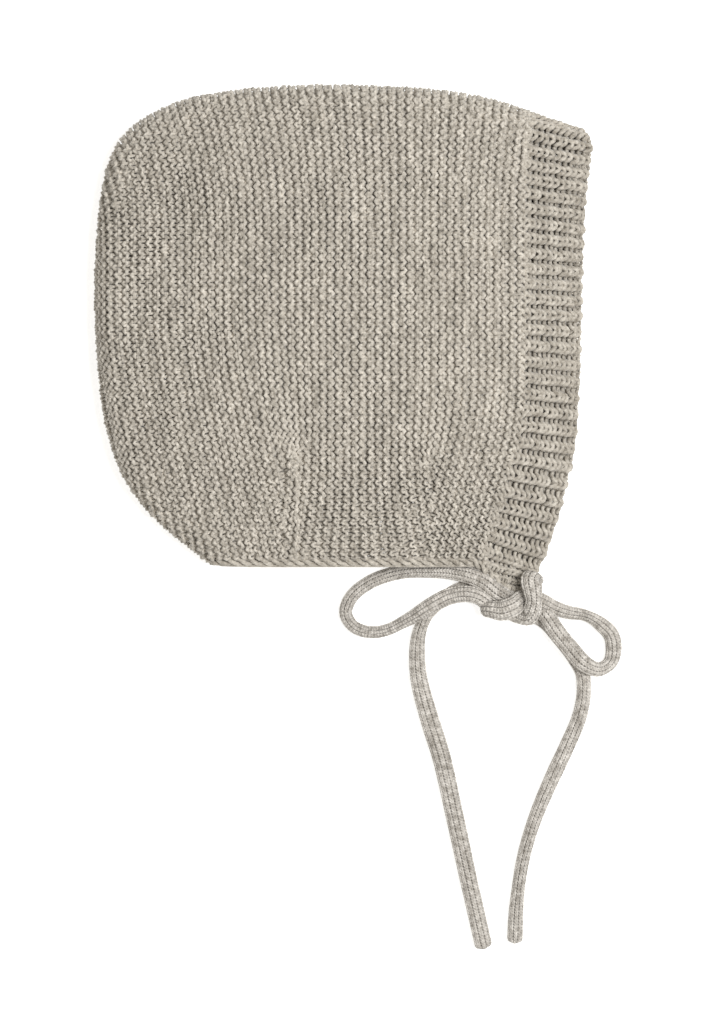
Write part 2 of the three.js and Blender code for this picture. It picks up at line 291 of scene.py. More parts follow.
def yarn_piece(name, rows, radius, material, sides=4):
    """Rows of yarn as one curve object, in metres. Each row is (points, thickness of each), and
    sides says how many flat sides the yarn has, four or six."""
    data = bpy.data.curves.new(name, "CURVE")
    data.dimensions = "3D"
    data.bevel_depth = radius * MM
    data.bevel_resolution = (sides - 4) // 2
    data.use_fill_caps = True
    for points, thickness in rows:
        spline = data.splines.new("POLY")
        spline.points.add(len(points) - 1)
        place = np.ones((len(points), 4))
        place[:, :3] = points * MM
        spline.points.foreach_set("co", place.ravel())
        spline.points.foreach_set("radius", np.broadcast_to(thickness, len(points)).astype(float))
        spline.use_smooth = True
    data.materials.append(material)
    piece = bpy.data.objects.new(name, data)
    bpy.context.scene.collection.objects.link(piece)
    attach(piece, "root")
    triangles = sum(len(points) - 1 for points, _ in rows) * sides * 2
    print(name, len(rows), "rows of yarn,", triangles, "triangles")
    return piece


print("unevenness of loops, rows and yarn:", UNEVEN)

# %% [markdown]
# ## Materials as arithmetic
#
# A material is a tree of nodes, and a tree wired by hand is long to write and hard to read. A small
# class wraps a node's output, so that plain arithmetic on outputs adds the Math nodes.

# %% Make helpers for materials


class Socket:
    """A node's output with arithmetic. An expression on sockets adds its Math nodes."""

    def __init__(self, tree, output):
        self.tree = tree
        self.output = output

    def node(self, kind, settings=(), outlet=0, **inputs):
        """Add a node. Its inputs are given by name, or by number as i0, i1 and so on."""
        made = self.tree.nodes.new(kind)
        for key, value in dict(settings).items():
            setattr(made, key, value)
        for key, value in inputs.items():
            place = made.inputs[int(key[1:]) if key[1:].isdigit() else key.replace("_", " ")]
            if isinstance(value, Socket):
                self.tree.links.new(value.output, place)
            else:
                place.default_value = value
        return Socket(self.tree, made.outputs[outlet])

    def clamped(self):
        """The value kept between 0 and 1."""
        return self.node("ShaderNodeClamp", Value=self)

    def math(self, operation, *values):
        inputs = {f"i{i}": value for i, value in enumerate(values)}
        return self.node("ShaderNodeMath", {"operation": operation}, **inputs)

    def __add__(self, other):
        return self.math("ADD", self, other)

    def __sub__(self, other):
        return self.math("SUBTRACT", self, other)

    def __mul__(self, other):
        return self.math("MULTIPLY", self, other)

    def __rsub__(self, other):
        return self.math("SUBTRACT", other, self)

    __radd__ = __add__
    __rmul__ = __mul__


def blended(factor, first, second):
    """One colour mixed into another."""
    return factor.node("ShaderNodeMix", {"data_type": "RGBA"}, outlet=2, i0=factor, i6=first, i7=second)


def set_inputs(node, values):
    """Set the constants of a node's inputs, by name."""
    for key, value in values.items():
        node.inputs[key].default_value = value


print("arithmetic on sockets: add, subtract, multiply and clamp")

# %% [markdown]
# ## Wool
#
# The yarn is heathered: fibres of cream, sand and grey spun together, so its colour wanders on every
# scale. Broad streaks follow the rows, specks are as small as a stitch, and fine grain stands in for
# the fibres. Their sum picks a tone between a dark wool and a pale one. A little sheen gives the pale
# haze that wool has at a grazing angle.

# %% Make the wools
WOOL_SURFACE = {"Roughness": 0.92, "Sheen Weight": 0.25, "Sheen Roughness": 0.6, "Specular IOR Level": 0.2}
FUZZ = {"Strength": 0.35, "Distance": 0.0002}
STREAK_SQUEEZE = (1.0, 0.16, 1.0)
STREAK_SCALE, SPECK_SCALE, FIBRE_SCALE = 260.0, 520.0, 1500.0
STREAK_SHARE, SPECK_SHARE, FIBRE_SHARE = 0.7, 1.5, 1.3
HEATHER_BALANCE = 1.25


def new_wool(name, pale, dark):
    """A heathered wool material between two colours."""
    material = bpy.data.materials.new(name)
    material.use_nodes = True
    tree = material.node_tree
    shader = tree.nodes["Principled BSDF"]
    set_inputs(shader, WOOL_SURFACE)
    place = Socket(tree, tree.nodes.new("ShaderNodeTexCoord").outputs["Object"])
    squeezed = place.node("ShaderNodeMapping", i0=place, Scale=STREAK_SQUEEZE)
    streak = place.node("ShaderNodeTexNoise", Vector=squeezed, Scale=STREAK_SCALE, Detail=3.0)
    speck = place.node("ShaderNodeTexNoise", Vector=place, Scale=SPECK_SCALE, Detail=2.0)
    fibre = place.node("ShaderNodeTexNoise", Vector=place, Scale=FIBRE_SCALE, Detail=3.0)
    mixing = streak * STREAK_SHARE + speck * SPECK_SHARE + fibre * FIBRE_SHARE - HEATHER_BALANCE
    tone = blended(mixing.clamped(), dark, pale)
    fuzz = place.node("ShaderNodeBump", Height=fibre, **FUZZ)
    tree.links.new(fuzz.output, shader.inputs["Normal"])
    tree.links.new(tone.output, shader.inputs["Base Color"])
    return material


garter_wool = new_wool("garter_wool", pale=(0.75, 0.70, 0.62, 1), dark=(0.275, 0.247, 0.203, 1))
rib_wool = new_wool("rib_wool", pale=(0.66, 0.615, 0.54, 1), dark=(0.255, 0.225, 0.182, 1))
print("wool materials:", [m.name for m in (garter_wool, rib_wool)])

# %% [markdown]
# ## Where the ridges run
#
# Garter stitch shows a ridge for every two rows. The ridges start parallel to the face band and go
# back to the centre-back crease. Each one runs from the neck over the crown and down the far side.
# Near the neck the bag is shaped: the ridges by the band lean with it and end at a dart, those of
# the back lean the other way, and those between fan out a little.

# %% Lean and fan the ridges
BAND_SEAM = [
    (63.5, 72), (63.4, 40), (63.4, 0), (63.2, -26), (60.8, -42), (57.3, -54), (52.4, -70),
    (49.4, -80), (52.4, -86.6), (59.2, -92.6),
]
SEAM_FOOT_Y = -81.5
FRONT_DART_X = 31.0
BACK_DART_X = -20.0
DART_TOP_Y = -50.0
DART_EDGE = 1.0
DART_BLUR = {"width": 16, "over": 14}
BACK_LEAN = {"share": 0.32, "starts": 5, "ease": 60}
NECK_SPREAD = {"share": 0.3, "starts": -45, "over": 36, "power": 2.2}
CROWN_SPREAD = {"share": 0.15, "starts": 30, "over": 52, "power": 2}
MOST_SPREAD = 1.2
CROWN_MIDDLE_X = 25.0

band_seam = smooth_line(BAND_SEAM, 12)
seam_body = band_seam[band_seam[:, 1] > SEAM_FOOT_Y]


def smoothstep(low, high, value):
    """0 below low, 1 above high, and an S-shaped rise between them."""
    share = np.clip((value - low) / (high - low), 0, 1)
    return share * share * (3 - 2 * share)


def fanned(beyond, spread):
    """How much the ridges fan out at a distance beyond the height where that starts."""
    return spread["share"] * np.clip(beyond / spread["over"], 0, MOST_SPREAD) ** spread["power"]


def ridge_x(start_x, y):
    """Where the ridge that starts at start_x in the middle of the bag lies at height y."""
    crown = fanned(y - CROWN_SPREAD["starts"], CROWN_SPREAD)
    neck = fanned(NECK_SPREAD["starts"] - y, NECK_SPREAD)
    below = np.clip(BACK_LEAN["starts"] - y, 0, None)
    blur = smoothstep(DART_TOP_Y, DART_TOP_Y + DART_BLUR["over"], y)
    width = DART_EDGE + DART_BLUR["width"] * blur
    front = smoothstep(FRONT_DART_X - width, FRONT_DART_X + width, start_x)
    back = 1 - smoothstep(BACK_DART_X - width, BACK_DART_X + width, start_x)
    front_shift = np.interp(-y, -seam_body[:, 1], seam_body[:, 0]) - seam_body[0, 0]
    back_shift = BACK_LEAN["share"] * below**2 / (below + BACK_LEAN["ease"])
    middle_shift = (start_x - (FRONT_DART_X + BACK_DART_X) / 2) * neck
    shift = front * front_shift + back * back_shift + (1 - front - back) * middle_shift
    return start_x + shift + (start_x - CROWN_MIDDLE_X) * crown


print("darts at x", FRONT_DART_X, "and", BACK_DART_X, "mm, below y", DART_TOP_Y, "mm")

# %% [markdown]
# A ridge ends where it meets the crease, a dart or the neck. The ridges are spaced evenly over the
# real length of the bag's surface, not over its plan, so from above they crowd towards the crease.

# %% Place the ridges
RIDGE_PITCH = 2.76
STITCH = 2.76
NECK_Y = -84.4
CHAIN_HEIGHT = 3.4
CHAIN_OVERLAP = 0.3
CUT_Y = 8.0
ABOVE_CROWN_Y = 90.0
SEAM_GAP = 0.4
DART_OVERLAP = -0.2
FINE_STEPS = 400
JUST_INSIDE = 0.02


def ridge_ends(start_x):
    """Lowest and highest y of a ridge on one layer of the bag."""
    y = np.arange(CUT_Y, ABOVE_CROWN_Y, 0.25)
    inside = from_fold(ridge_x(start_x, y), y, KNIT_INSET)[0]
    top = np.interp(0.0, -inside, y) if inside[0] > 0 else CUT_Y
    y = np.linspace(min(top - 1, CUT_Y + 4), NECK_Y + CHAIN_HEIGHT - CHAIN_OVERLAP, FINE_STEPS)
    x = ridge_x(start_x, y)
    stays = from_fold(x, y, KNIT_INSET)[0] > JUST_INSIDE
    if start_x > FRONT_DART_X:
        stays &= (x > FRONT_DART_X + DART_OVERLAP) | (y > DART_TOP_Y)
    elif start_x < BACK_DART_X:
        stays &= (x < BACK_DART_X - DART_OVERLAP) | (y > DART_TOP_Y)
    else:
        between = (x < FRONT_DART_X - DART_OVERLAP) & (x > BACK_DART_X + DART_OVERLAP)
        stays &= between | (y > DART_TOP_Y)
    leaves = len(y) if stays.all() else np.argmin(stays)
    return y[max(leaves - 1, 1)], top


def across_bag():
    """The bag's cut in its middle, from the seam to the back crease, with its real length."""
    back = fold_at(KNIT_INSET)[0][:, 0].min()
    x = back + (seam_body[0, 0] - SEAM_GAP - back) * np.linspace(1, 0, FINE_STEPS) ** 2
    points, _ = skin(x, np.full(len(x), CUT_Y), True)
    return x, lengths_along(points)


cut_x, cut_length = across_bag()
RIDGES = round(cut_length[-1] / RIDGE_PITCH)
ridge_pitch = cut_length[-1] / RIDGES
ridge_starts = np.interp((np.arange(RIDGES) + 0.5) * ridge_pitch, cut_length, cut_x)
print(RIDGES, "ridges", round(ridge_pitch, 3), "mm apart")

# %% [markdown]
# ## The garter-stitch bag
#
# A ridge is a knitted row and a purled row. The heads of the first and the feet of the second both
# stand up and hook through each other, and between ridges they sink. All the rows are worked out
# as lines on the middle of the wall, from the near neck edge over the crown to the far one. Where the
# cloth is stretched the yarn gets thinner, so that more of the shadow between the rows shows.

# %% Turn a ridge into yarn
YARN_RADIUS = 0.8
LOOP_REACH = 1.42
LOOP_LEAN = 0.115
LOOP_RISE = 1.3
LOOP_CREST = 0.1
RIDGE_STEPS = 170
SPREAD_LIMITS = (0.6, 1.3)
STRETCHES = [
    {"name": "towards the knot", "x": 52, "y": -82, "wide": 64, "tall": 56, "thins": 0.22},
    {"name": "centre back", "x": -76, "y": -16, "wide": 36, "tall": 95, "thins": 0.14},
    {"name": "crown corner", "x": -66, "y": 46, "wide": 26, "tall": 26, "thins": 0.12},
    {"name": "crown", "x": -35, "y": 80, "wide": 60, "tall": 24, "thins": 0.12},
    {"name": "above the neck", "x": -5, "y": -74, "wide": 64, "tall": 36, "thins": 0.13},
]


def ridge_line(start_x):
    """The middle line of one ridge from the near neck over the crown to the far neck, with its
    outward directions, the local share of the usual pitch, and how far along it the middle of the
    bag and the crown are."""
    low, top = ridge_ends(start_x)
    y = low + (top - low) * (1 - np.cos(np.linspace(0, math.pi, RIDGE_STEPS))) / 2
    x = ridge_x(np.full(len(y), start_x), y)
    step = 0.2
    spread = ridge_x(np.full(len(y), start_x + step), y) - ridge_x(np.full(len(y), start_x - step), y)
    spread = np.clip(spread / (2 * step), *SPREAD_LIMITS)
    near, near_out = skin(x, y, True)
    far, far_out = skin(x, y, False)
    line = np.vstack([near, far[-2::-1]])
    outward = np.vstack([near_out, far_out[-2::-1]])
    spread = np.concatenate([spread, spread[-2::-1]])
    level = np.interp(0.0, y, lengths_along(near)) if low < 0 else lengths_along(near)[0]
    return line, outward, spread, level, lengths_along(near)[-1]


def stretched(points):
    """How much thinner the yarn is at each point, where the cloth is stretched open."""
    thins = 0.0
    for place in STRETCHES:
        east = (points[:, 0] - place["x"]) / place["wide"]
        north = (points[:, 1] - place["y"]) / place["tall"]
        thins = thins + place["thins"] * bump(np.hypot(east, north))
    return thins


def paired_rows(line, outward, turns, place, pitch):
    """The knitted row and the purled row of one ridge, side by side along a line."""
    middle = at_lengths(line, place)
    normals = unit(at_lengths(line, place, outward))
    _, across = frame_along(middle, normals)
    angle = 2 * math.pi * turns
    rows = []
    for side in (-1, 1):
        row = middle + across * (side * pitch / 4)[:, None]
        lift = -side * LOOP_RISE * (np.cos(angle) + LOOP_CREST * np.cos(3 * angle))
        reach = LOOP_REACH * pitch / ridge_pitch
        yarn = yarn_row(row, normals, turns, STITCH, reach, LOOP_LEAN, lift)
        rows.append((yarn, 1 + uneven(turns, UNEVEN["thickness"]) - stretched(middle)))
    return rows


print("the yarn is", 2 * YARN_RADIUS, "mm thick, and thinner at:", [row["name"] for row in STRETCHES])

# %% [markdown]
# Loops on the near layer get eight points each, and those on the layer that lies on the table six.
# At the centre back the ridges end at the crease, where two more ridges along it make the seam. The
# bag is split into four pieces, so that none has more than 200,000 triangles.

# %% Knit the bag
NEAR_POINTS, FAR_POINTS = 8, 6
PANELS = 4
BACK_SEAM = [
    {"inset": 2.4, "height": 7.0, "top": 62.0, "foot": -82.4},
    {"inset": 2.7, "height": 9.6, "top": 2.0, "foot": -54.0},
]
BACK_SEAM_MOST_X = -40.0


def garter_rows(start_x):
    """The yarn of one ridge of the bag."""
    line, outward, spread, level, crown = ridge_line(start_x)
    along = lengths_along(line)
    first, last = (along[0] - level) / STITCH, (along[-1] - level) / STITCH
    over = (crown - level) / STITCH
    near = np.arange(math.ceil(first * NEAR_POINTS), math.floor(over * NEAR_POINTS) + 1) / NEAR_POINTS
    far = np.arange(math.ceil(over * FAR_POINTS) + 1, math.floor(last * FAR_POINTS) + 1) / FAR_POINTS
    turns = np.concatenate([near, far])
    place = turns * STITCH + level
    pitch = ridge_pitch * np.interp(place, along, spread)
    return paired_rows(line, outward, turns, place, pitch)


def back_seam_rows():
    """The ridges that close the centre back, on the crease itself and just above it."""
    rows = []
    for seam in BACK_SEAM:
        line, out = fold_at(seam["inset"])
        chosen = (line[:, 0] < BACK_SEAM_MOST_X) & (line[:, 1] < seam["top"]) & (line[:, 1] > seam["foot"])
        middle = np.column_stack([line[chosen], np.full(chosen.sum(), seam["height"])])
        outward = np.column_stack([out[chosen], np.zeros(chosen.sum())])
        turns = np.arange(0, lengths_along(middle)[-1] / STITCH, 1 / NEAR_POINTS)
        pitch = np.full(len(turns), ridge_pitch)
        rows += paired_rows(middle, outward, turns, turns * STITCH, pitch)
    return rows


for panel in range(PANELS):
    chosen = np.array_split(ridge_starts, PANELS)[panel]
    rows = [row for start_x in chosen for row in garter_rows(start_x)]
    if panel == PANELS - 1:
        rows += back_seam_rows()
    piece = yarn_piece(f"garter_panel_{panel + 1}", rows, YARN_RADIUS, garter_wool)
    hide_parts("bonnet_body")

# %% [markdown]
# ## The ribbed face band
#
# The band's rows run along the face opening, one knit stitch and one purl in turn. The knit stitches
# stand up as plump V-shaped columns and the purled ones sink, so the ribs lie across the band. Each
# row is drawn between the seam and the face edge. One table says how far the ribs drop on their way
# from the seam to the face.

# %% Lay out the band
FACE_EDGE = [
    (86.7, 63.5), (86.2, 56), (85, 46), (83.7, 25), (82.9, 0), (82.4, -20), (80.8, -42), (77.4, -58),
    (73.4, -73), (69.2, -83.6), (66, -88.8), (62, -92.8),
]
SEAM_CROWN_X, EDGE_CROWN_X = 63.5, 84.6
RIB_TILT = [
    {"seam_y": 76, "drop": 9.6}, {"seam_y": 72, "drop": 7.8}, {"seam_y": 67.5, "drop": 5.8},
    {"seam_y": 61.5, "drop": 4.2}, {"seam_y": 51, "drop": 3.0}, {"seam_y": 41, "drop": 2.4},
    {"seam_y": 30, "drop": 1.9}, {"seam_y": 15, "drop": 0.9}, {"seam_y": 0, "drop": 0.7},
    {"seam_y": -12, "drop": 1.6}, {"seam_y": -30, "drop": 1.7}, {"seam_y": -40, "drop": 2.4},
    {"seam_y": -51, "drop": 3.4}, {"seam_y": -67, "drop": 5.0}, {"seam_y": -78, "drop": 7.4},
    {"seam_y": -92.6, "drop": 0.2},
]
TILT_EASE_Y = 60
BAND_INSET = 1.15
BAND_STATIONS = 900
STATION_CROWDING = 1.5


def fold_y(x, inset):
    """Height in the plan of the crown crease above x."""
    line = fold_at(inset)[0]
    crown = line[:line[:, 0].argmin() + 1]
    return np.interp(-x, -crown[:, 0], crown[:, 1])


def rail(points, crown_x):
    """A line in the plan from the crown crease down to the chin, which never turns back up."""
    line = smooth_line([(crown_x, fold_y(crown_x, BAND_INSET)), *points], 16)
    return line[np.concatenate([[True], np.diff(line[:, 1]) < 0])]


seam_rail = rail(BAND_SEAM, SEAM_CROWN_X)
edge_rail = rail(FACE_EDGE, EDGE_CROWN_X)
tilt_y = [row["seam_y"] for row in RIB_TILT][::-1]
tilt_drop = [row["drop"] for row in RIB_TILT][::-1]
crown_gap = seam_rail[0, 1] - edge_rail[0, 1]


def band_stations():
    """Stations on the seam from the crown crease, where they crowd, down to the chin, with their
    partners on the face edge, all in the plan."""
    share = np.linspace(0, 1, BAND_STATIONS) ** STATION_CROWDING
    y = seam_rail[0, 1] + (seam_rail[-1, 1] - seam_rail[0, 1]) * share
    x = np.interp(-y, -seam_rail[:, 1], seam_rail[:, 0])
    at_crown = crown_gap / tilt_drop[-1]
    drop = np.interp(y, tilt_y, tilt_drop) * np.interp(y, [TILT_EASE_Y, seam_rail[0, 1]], [1, at_crown])
    partner_y = np.clip(y - drop, edge_rail[-1, 1], edge_rail[0, 1])
    partner_x = np.interp(-partner_y, -edge_rail[:, 1], edge_rail[:, 0])
    return x, y, partner_x, partner_y


def band_rails():
    """Both rails in space from the near chin over the crown to the far chin, with normals."""
    x, y, partner_x, partner_y = band_stations()
    rails = []
    for plan_x, plan_y in ((x, y), (partner_x, partner_y)):
        near, near_out = skin(plan_x, plan_y, True, BAND_INSET)
        far, far_out = skin(plan_x, plan_y, False, BAND_INSET)
        rails.append((np.vstack([near[::-1], far[1:]]), np.vstack([near_out[::-1], far_out[1:]])))
    return rails


(seam_line, seam_out), (edge_line, edge_out) = band_rails()
seam_along = lengths_along(seam_line)
crown_along = seam_along[len(seam_line) // 2]
print("band:", round(seam_along[-1], 1), "mm long between the chin corners")

# %% [markdown]
# ## The relief of the ribs
#
# In a knit stitch the legs of the loop lie in front, and in a purl its head and feet do. The ribs
# pull together sideways, which folds the purled columns away behind the knitted ones.

# %% Shape the ribs
KNIT_LIMITS = (0.38, 0.62)
KNIT_DEPTH = 0.2
PURL_DEPTH = 0.6
RIB_RECESS = 3.3
RECESS_POWER = 1.3


def knit_share(turns):
    """1 in a knit stitch and 0 in a purl. Even turns are the middles of knit stitches."""
    return 1 - smoothstep(*KNIT_LIMITS, np.abs((turns + 1) % 2 - 1))


def rib_rise(turns):
    """Lift of the ribbing's yarn. A knit stitch has its legs in front, a purl its head and feet."""
    knit = knit_share(turns)
    wave = np.cos(4 * math.pi * turns)
    sunk = (0.5 - 0.5 * np.cos(math.pi * turns)) ** RECESS_POWER
    return wave * (PURL_DEPTH * (1 - knit) - KNIT_DEPTH * knit) - RIB_RECESS * sunk


print("the purled columns sink", RIB_RECESS, "mm below the knitted ones")

# %% [markdown]
# ## Knitting the band
#
# A table says how far down from the crown crease a few of the grooves lie, and the others are spread
# between them. The knit stitches are wider than the purled ones and their yarn is plumper. Towards
# the chin the band gets narrow, so its loops shrink, and every second row slips out of sight. One
# plump strand covers the seam and another one finishes the face edge.

# %% Knit the band
BAND_ROWS = 11
BAND_POINTS = 10
BAND_TURNS = 70
BAND_WIDTH = 19.5
TIGHTEST, LOOSEST = 0.25, 1.05
RIB_PLACES = [
    {"groove": -36, "down": -186.5}, {"groove": 0, "down": 6.1}, {"groove": 2, "down": 18.0},
    {"groove": 9, "down": 54.1}, {"groove": 15, "down": 85.9}, {"groove": 22, "down": 125.2},
    {"groove": 25, "down": 143.3}, {"groove": 28, "down": 160.0}, {"groove": 36, "down": 203.6},
]
PURL_STITCH = 2.7
KNIT_EXTRA = 0.64
KNIT_PLUMP = 0.2
RIB_RADIUS = 0.72
RIB_REACH = -0.9
RIB_LEAN = 0.05
PURL_SKEW = 1.1
THINNEST_RIB = 0.6
RELIEF_KEEPS = 1.3
HIDDEN_ROW = {"thickness": 0.3, "from": 0.35, "to": 0.65}
BORDER_POINTS = 6
BORDER_LEAN = 0.1
BORDERS = [
    {"share": 0.0, "stitch": 2.8, "loop": 0.5, "thickness": 1.2, "lift": -0.4},
    {"share": 0.985, "stitch": PURL_STITCH, "loop": 0.15, "thickness": 1.05, "lift": -0.3},
]


def between_rails(values_seam, values_edge, share, place):
    """Values on a line between the rails, at the wanted distances along the seam."""
    mixed = values_seam * (1 - share) + values_edge * share
    return at_lengths(seam_line, place, mixed)


def band_row(number):
    """The yarn of one row of the band. Knit stitches are wider than purled ones. Every second row
    slips out of sight where the band is gathered into its tips."""
    share = (number + 0.5) / BAND_ROWS
    turns = np.arange(-BAND_TURNS * BAND_POINTS, BAND_TURNS * BAND_POINTS) / BAND_POINTS
    groove = [2 * row["groove"] + 1 for row in RIB_PLACES]
    down = np.interp(-turns, groove, [row["down"] for row in RIB_PLACES])
    place = crown_along - down + KNIT_EXTRA * np.sin(math.pi * turns)
    inside = (place > 0) & (place < seam_along[-1])
    turns, place = turns[inside], place[inside]
    middle = between_rails(seam_line, edge_line, share, place)
    normals = unit(between_rails(seam_out, edge_out, share, place))
    width = np.linalg.norm(at_lengths(seam_line, place, edge_line) - at_lengths(seam_line, place), axis=1)
    tight = np.clip(width / BAND_WIDTH, TIGHTEST, LOOSEST)
    row = yarn_row(
        middle, normals, turns, PURL_STITCH, RIB_REACH * tight, RIB_LEAN,
        rib_rise(turns) * np.clip(tight * RELIEF_KEEPS, 0, 1), PURL_SKEW * (1 - knit_share(turns)) * tight,
    )
    thickness = np.clip(tight, THINNEST_RIB, 1) * (1 + KNIT_PLUMP * knit_share(turns))
    if number % 2:
        shows = smoothstep(HIDDEN_ROW["from"], HIDDEN_ROW["to"], tight)
        thickness = thickness * (HIDDEN_ROW["thickness"] + (1 - HIDDEN_ROW["thickness"]) * shows)
    return row, thickness


def border_row(share, stitch, loop, thickness, lift):
    """A plump wavy strand along the seam or along the face edge."""
    place = np.arange(0.0, seam_along[-1], stitch / BORDER_POINTS)
    line = between_rails(seam_line, edge_line, share, place)
    out = unit(between_rails(seam_out, edge_out, share, place))
    turns = place / stitch
    lifts = lift + loop * np.cos(4 * math.pi * turns)
    return yarn_row(line, out, turns, stitch, loop, BORDER_LEAN, lifts), thickness


rib_rows = [band_row(number) for number in range(BAND_ROWS)]
rib_rows += [border_row(**border) for border in BORDERS]
band = yarn_piece("ribbed_band", rib_rows, RIB_RADIUS, rib_wool)
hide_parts("face_band")

# %% [markdown]
# ## The neck edge
#
# Binding off leaves a chain that lies along the edge like a thin rope. Two strands wound round
# each other show the same slanted links, and a plain strand under them is the last row of the knitting.

# %% Finish the neck
LINK = 3.7
LINK_POINTS = 8
ROPE_Y = -82.2
ROPE_FLATTENING = 1.1
ROPE_TO_KNOT = [(62.3, -94.6), (57.4, -91.4), (52.4, -86.8)]
NECK_END_X = 46.5
NECK_STATIONS = 260
STRAND = 0.8
LAST_ROW = {"above": 0.55, "inset": 0.5, "step": 0.8, "thickness": 0.75}


def neck_line(y, towards_knot=()):
    """A line along the neck on both layers, at one height in the plan."""
    line, _ = fold_at(KNIT_INSET)
    lower = line[line[:, 0].argmin():]
    fold_x = np.interp(-y, -lower[:, 1], lower[:, 0])
    x = fold_x + (NECK_END_X - fold_x) * np.linspace(1, 0, NECK_STATIONS) ** 2
    plan = np.stack([x, np.full(len(x), y)], axis=1)
    if len(towards_knot):
        plan = np.vstack([smooth_line([*towards_knot, (NECK_END_X, y)], 10)[:-1], plan])
    near, near_out = skin(plan[:, 0], plan[:, 1], True)
    far, far_out = skin(plan[-2::-1, 0], plan[-2::-1, 1], False)
    return np.vstack([near, far]), np.vstack([near_out, far_out])


def rope_strand(line, normals, turn_start):
    """One strand wound round a line, a little wider than it is thick."""
    place = np.arange(0, lengths_along(line)[-1], LINK / LINK_POINTS)
    middle = at_lengths(line, place)
    out = unit(at_lengths(line, place, normals))
    _, across = frame_along(middle, out)
    angle = 2 * math.pi * (place / (2 * LINK) + turn_start)
    sideways = across * np.cos(angle)[:, None] * STRAND * ROPE_FLATTENING
    return middle + sideways + out * np.sin(angle)[:, None] * STRAND, 1.0


rope_line, rope_out = neck_line(ROPE_Y, ROPE_TO_KNOT)
strip_line, strip_out = neck_line(NECK_Y + LAST_ROW["above"])
neck_rows = [rope_strand(rope_line, rope_out, start) for start in (0.0, 0.5)]
strip_place = np.arange(0, lengths_along(strip_line)[-1], LAST_ROW["step"])
last_row = at_lengths(strip_line - strip_out * LAST_ROW["inset"], strip_place)
neck_rows.append((last_row, LAST_ROW["thickness"]))
neck = yarn_piece("bound_off_neck", neck_rows, STRAND, rib_wool, sides=6)
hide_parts("neck_edge")

# %% [markdown]
# ## The wool of the ties
#
# Each tie is a narrow tube knitted in the round and pressed a little flat. Columns of small V-shaped
# stitches run along it. The columns are real ridges of the mesh, and the V shapes come from the
# material, which counts stitches along the tie and columns round it on the mesh's own UV map. Between
# the legs of the stitches the material paints small dark holes. These are painted shade, since the mesh
# is closed there. The painted shade is deepest on the two flat faces and where the tie is stretched
# open, which a broad noise decides.

# %% Make the tie's material
TIE_COLUMNS = 10
TIE_STITCH = 1.05
TIE_PALE, TIE_DARK = (0.90, 0.855, 0.79, 1), (0.30, 0.27, 0.23, 1)
# near-black colour of the painted shade in the holes between the tie's stitches
PAINTED_HOLE_SHADE = (0.05, 0.038, 0.025, 1)
STITCH_BUMP = {"Strength": 1.0, "Distance": 0.0005}
LEG = {"middle": 0.2, "outer_fall": 3.4, "inner_fall": 4.0, "cleft": 0.45, "slope": 1.1, "slant": 0.3}
# where the painted shade in the holes falls: low between the legs, dotted along the tie, stronger where
# stretched open and on the flat faces
HOLE = {"starts": 1.15, "fall": 2.1, "phase": 0.3, "dotted": 0.9, "between": 0.2}
STRETCH = {"scale": 110.0, "contrast": 3.4, "cut": 1.0, "open": 0.6, "tight": 0.5}
FACES = {"flat": 0.8, "sides": 0.2}
WHOLE_TURN = 2 * math.pi


def stitch_height(along, turn):
    """How high the legs of the V-shaped stitches stand, from the places along and round the tie."""
    around = turn * TIE_COLUMNS
    side = around.math("ABSOLUTE", around.math("FRACT", around) - 0.5)
    outer = ((side - LEG["middle"]) * LEG["outer_fall"]).clamped()
    inner = ((LEG["middle"] - side) * LEG["inner_fall"]).clamped()
    round_leg = 1.0 - outer * outer - inner * inner * LEG["cleft"]
    wave = side.math("COSINE", (along + side * LEG["slope"]) * WHOLE_TURN)
    return round_leg * (wave * LEG["slant"] + (1 - LEG["slant"]))


def hole_shade(place, along, turn, height):
    """How much painted shade darkens the holes between the legs at each point."""
    noise = place.node("ShaderNodeTexNoise", Vector=place, Scale=STRETCH["scale"], Detail=1.0)
    stretch = (noise * STRETCH["contrast"] - STRETCH["cut"]).clamped()
    dots = along.math("COSINE", (along + HOLE["phase"]) * WHOLE_TURN) * 0.5 + 0.5
    on_flat = turn.math("ABSOLUTE", turn.math("SINE", turn * WHOLE_TURN)) * FACES["flat"] + FACES["sides"]
    gap = (HOLE["starts"] - height * HOLE["fall"]).clamped() * (dots * HOLE["dotted"] + HOLE["between"])
    return (gap * (stretch * STRETCH["open"] + STRETCH["tight"]) * on_flat).clamped()


def new_tie_wool(name, length):
    """Heathered wool with V-shaped stitches and painted shade in their holes, for a tie of that length."""
    material = new_wool(name, TIE_PALE, TIE_DARK)
    tree = material.node_tree
    shader = tree.nodes["Principled BSDF"]
    uv = Socket(tree, tree.nodes.new("ShaderNodeTexCoord").outputs["UV"])
    place = Socket(tree, tree.nodes.new("ShaderNodeTexCoord").outputs["Object"])
    along = uv.node("ShaderNodeSeparateXYZ", Vector=uv) * (length / TIE_STITCH)
    turn = uv.node("ShaderNodeSeparateXYZ", outlet=1, Vector=uv)
    height = stitch_height(along, turn)
    wool_tone = Socket(tree, shader.inputs["Base Color"].links[0].from_socket)
    # painted shade: the near-black hole colour is mixed into the wool's colour between the legs
    tone = blended(hole_shade(place, along, turn, height), wool_tone, PAINTED_HOLE_SHADE)
    fuzz = Socket(tree, shader.inputs["Normal"].links[0].from_socket)
    stitches = fuzz.node("ShaderNodeBump", Height=height, Normal=fuzz, **STITCH_BUMP)
    tree.links.new(stitches.output, shader.inputs["Normal"])
    tree.links.new(tone.output, shader.inputs["Base Color"])
    return material


print("stitches of a tie:", TIE_COLUMNS, "columns,", TIE_STITCH, "mm long")

# %% [markdown]
# ## The shapes of the ties
#
# A tie is no perfect tube. It flattens and twists as it lies, so tables say how wide it is at
# distances along it and how far it has slid to its left. The knot was drawn tighter than the routes
# alone show, and its tables push single stretches east, north and up.

